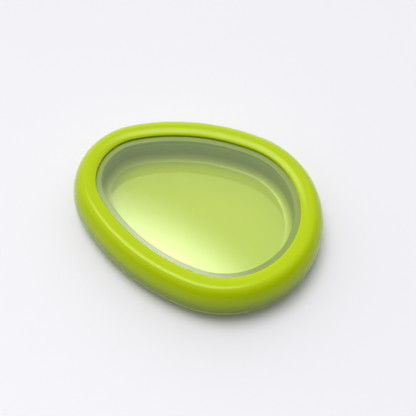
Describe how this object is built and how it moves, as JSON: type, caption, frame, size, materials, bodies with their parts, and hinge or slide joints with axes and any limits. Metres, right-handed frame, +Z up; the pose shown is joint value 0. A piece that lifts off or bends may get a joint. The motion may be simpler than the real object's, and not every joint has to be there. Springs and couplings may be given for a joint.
{
  "type": "food saver pod",
  "caption": "Egg-shaped food keeper: a push-fit dish under a fat rounded rim that frames a clear stretch-film window.",
  "frame": {"origin": "on the table at the centre of the pod's footprint", "axes": "+X along the long axis towards the round end, +Z up through the window"},
  "size_m": [0.13, 0.1, 0.023],
  "materials": {
    "lid_plastic": "gloss, lime green, injection moulded",
    "dish_plastic": "gloss, lime green, injection moulded",
    "clear_film": "clear, smooth, flexible polyurethane film",
    "seal_silicone": "satin silicone, green"
  },
  "bodies": {
    "dish": {"base_dish": "dish_plastic", "sealing_ring": "seal_silicone"},
    "lid": {"lid_shell": "lid_plastic", "film_clamp_ring": "lid_plastic", "window_film": "clear_film"}
  },
  "joints": [
    {"name": "lid_lift", "type": "slide", "parent": "dish", "child": "lid", "axis": [0, 0, 1], "range_m": [0, 0.04]}
  ]
}
